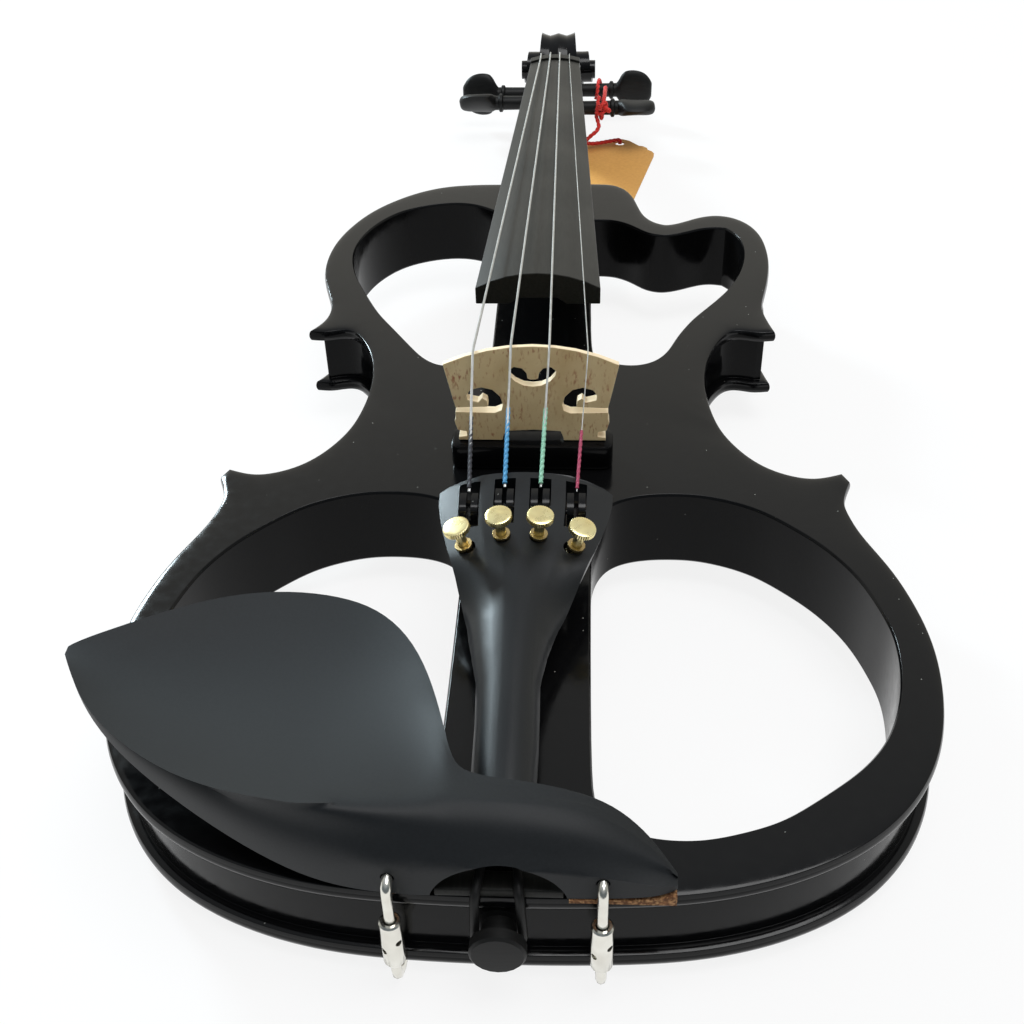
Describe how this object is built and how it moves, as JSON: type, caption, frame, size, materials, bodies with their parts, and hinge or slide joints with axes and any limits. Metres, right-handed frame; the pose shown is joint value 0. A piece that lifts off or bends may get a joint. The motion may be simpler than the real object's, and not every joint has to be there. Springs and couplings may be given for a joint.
{
  "type": "electric violin",
  "caption": "Full-size electric violin with an open outline body, dark neck and scroll, patterned bridge over a pickup bar, tuner tailpiece, chinrest, tied tag and a rear control panel.",
  "frame": {"origin": "on the back face of the body, on its centre line, straight under the bridge", "axes": "+X towards the treble side, +Y towards the scroll, +Z out of the top of the body towards the strings"},
  "size_m": [0.214, 0.5972, 0.09],
  "materials": {
    "lacquer": "gloss black lacquer over wood",
    "fingerboard_black": "satin dyed dark grey to black",
    "peg_black": "matte black",
    "satin_black": "satin black",
    "maple": "bare flecked maple with pale edges",
    "gold": "polished gold plate",
    "nickel": "polished nickel plate",
    "steel": "drawn steel wire",
    "cork": "brown cork",
    "silk_black": "dark wound silk",
    "silk_blue": "blue wound silk",
    "silk_mint": "mint wound silk",
    "silk_red": "red wound silk",
    "panel_plastic": "fine textured black",
    "circuit": "green circuit board",
    "cell": "dark grey painted case, left bare",
    "card": "tan card, left bare",
    "thread": "red twisted yarn"
  },
  "bodies": {
    "instrument": {"body_frame": "lacquer", "neck": "lacquer", "fingerboard": "fingerboard_black", "nut": "fingerboard_black", "pickup_bar": "lacquer", "piezo_strip": "gold", "bridge": "maple", "tailpiece": "satin_black", "tuner_bushing_g": "gold", "tuner_bushing_d": "gold", "tuner_bushing_a": "gold", "tuner_bushing_e": "gold", "string_g": "steel", "string_d": "steel", "string_a": "steel", "string_e": "steel", "string_silk_g": "silk_black", "string_silk_d": "silk_blue", "string_silk_a": "silk_mint", "string_silk_e": "silk_red", "tailgut": "peg_black", "end_button": "peg_black", "end_saddle": "peg_black", "chinrest": "satin_black", "chinrest_cork_left": "cork", "chinrest_cork_right": "cork", "clamp_hook_left": "nickel", "clamp_hook_right": "nickel", "clamp_foot_bracket": "nickel", "clamp_foot_cork": "cork", "control_panel": "panel_plastic", "battery": "cell", "output_jack": "nickel", "headphone_jack": "nickel", "circuit_board": "circuit", "hang_tag": "card", "tag_thread": "thread"},
    "peg_g_body": {"peg_g": "peg_black"},
    "peg_d_body": {"peg_d": "peg_black"},
    "peg_a_body": {"peg_a": "peg_black"},
    "peg_e_body": {"peg_e": "peg_black"},
    "screw_g_body": {"tuner_screw_g": "gold"},
    "screw_d_body": {"tuner_screw_d": "gold"},
    "screw_a_body": {"tuner_screw_a": "gold"},
    "screw_e_body": {"tuner_screw_e": "gold"},
    "lever_g_body": {"tuner_lever_g": "satin_black"},
    "lever_d_body": {"tuner_lever_d": "satin_black"},
    "lever_a_body": {"tuner_lever_a": "satin_black"},
    "lever_e_body": {"tuner_lever_e": "satin_black"},
    "barrel_left_body": {"clamp_barrel_left": "nickel"},
    "barrel_right_body": {"clamp_barrel_right": "nickel"},
    "volume_body": {"volume_wheel": "panel_plastic"},
    "tone_body": {"tone_wheel": "panel_plastic"},
    "switch_body": {"power_switch": "panel_plastic"},
    "door_body": {"battery_door": "panel_plastic"}
  },
  "joints": [
    {"name": "peg_g_turn", "type": "hinge", "parent": "instrument", "child": "peg_g_body", "pos_m": [0, 0.3546, 0.00072], "axis": [1, 0, 0], "continuous": true},
    {"name": "peg_d_turn", "type": "hinge", "parent": "instrument", "child": "peg_d_body", "pos_m": [0, 0.3756, -0.00258], "axis": [1, 0, 0], "continuous": true},
    {"name": "peg_a_turn", "type": "hinge", "parent": "instrument", "child": "peg_a_body", "pos_m": [0, 0.384, -0.00389], "axis": [1, 0, 0], "continuous": true},
    {"name": "peg_e_turn", "type": "hinge", "parent": "instrument", "child": "peg_e_body", "pos_m": [0, 0.342, 0.0027], "axis": [1, 0, 0], "continuous": true},
    {"name": "screw_g_turn", "type": "hinge", "parent": "instrument", "child": "screw_g_body", "pos_m": [-0.01545, -0.0647, 0.04485], "axis": [-0.2345, -0.1242, 0.9642], "range_deg": [0, 1440]},
    {"name": "screw_d_turn", "type": "hinge", "parent": "instrument", "child": "screw_d_body", "pos_m": [-0.00568, -0.06239, 0.04677], "axis": [-0.0782, -0.1242, 0.9892], "range_deg": [0, 1440]},
    {"name": "screw_a_turn", "type": "hinge", "parent": "instrument", "child": "screw_a_body", "pos_m": [0.00408, -0.06239, 0.04684], "axis": [0.0782, -0.1242, 0.9892], "range_deg": [0, 1440]},
    {"name": "screw_e_turn", "type": "hinge", "parent": "instrument", "child": "screw_e_body", "pos_m": [0.01385, -0.0647, 0.04505], "axis": [0.2345, -0.1242, 0.9642], "range_deg": [0, 1440]},
    {"name": "lever_g_tilt", "type": "hinge", "parent": "instrument", "child": "lever_g_body", "pos_m": [-0.01545, -0.0465, 0.04208], "axis": [1, 0, 0], "range_deg": [0, 6]},
    {"name": "lever_d_tilt", "type": "hinge", "parent": "instrument", "child": "lever_d_body", "pos_m": [-0.00568, -0.0465, 0.04375], "axis": [1, 0, 0], "range_deg": [0, 6]},
    {"name": "lever_a_tilt", "type": "hinge", "parent": "instrument", "child": "lever_a_body", "pos_m": [0.00408, -0.0465, 0.04386], "axis": [1, 0, 0], "range_deg": [0, 6]},
    {"name": "lever_e_tilt", "type": "hinge", "parent": "instrument", "child": "lever_e_body", "pos_m": [0.01385, -0.0465, 0.04241], "axis": [1, 0, 0], "range_deg": [0, 6]},
    {"name": "barrel_left_turn", "type": "hinge", "parent": "instrument", "child": "barrel_left_body", "pos_m": [-0.0253, -0.16395, 0.0146], "axis": [0, 0, 1], "continuous": true},
    {"name": "barrel_right_turn", "type": "hinge", "parent": "instrument", "child": "barrel_right_body", "pos_m": [0.0206, -0.16395, 0.0146], "axis": [0, 0, 1], "continuous": true},
    {"name": "volume_turn", "type": "hinge", "parent": "instrument", "child": "volume_body", "pos_m": [-0.035, 0.04385, 0.0066], "axis": [0, 1, 0], "range_deg": [0, 270]},
    {"name": "tone_turn", "type": "hinge", "parent": "instrument", "child": "tone_body", "pos_m": [-0.014, 0.04385, 0.0066], "axis": [0, 1, 0], "range_deg": [0, 270]},
    {"name": "power_slide", "type": "slide", "parent": "instrument", "child": "switch_body", "axis": [1, 0, 0], "range_m": [0, 0.003]},
    {"name": "door_swing", "type": "hinge", "parent": "instrument", "child": "door_body", "pos_m": [-0.0456, 0.02175, 0], "axis": [0, 1, 0], "range_deg": [0, 110]}
  ],
  "couplings": [
    {"joint": "lever_g_tilt", "follows": "screw_g_turn", "ratio": 0.004},
    {"joint": "lever_d_tilt", "follows": "screw_d_turn", "ratio": 0.004},
    {"joint": "lever_a_tilt", "follows": "screw_a_turn", "ratio": 0.004},
    {"joint": "lever_e_tilt", "follows": "screw_e_turn", "ratio": 0.004}
  ]
}
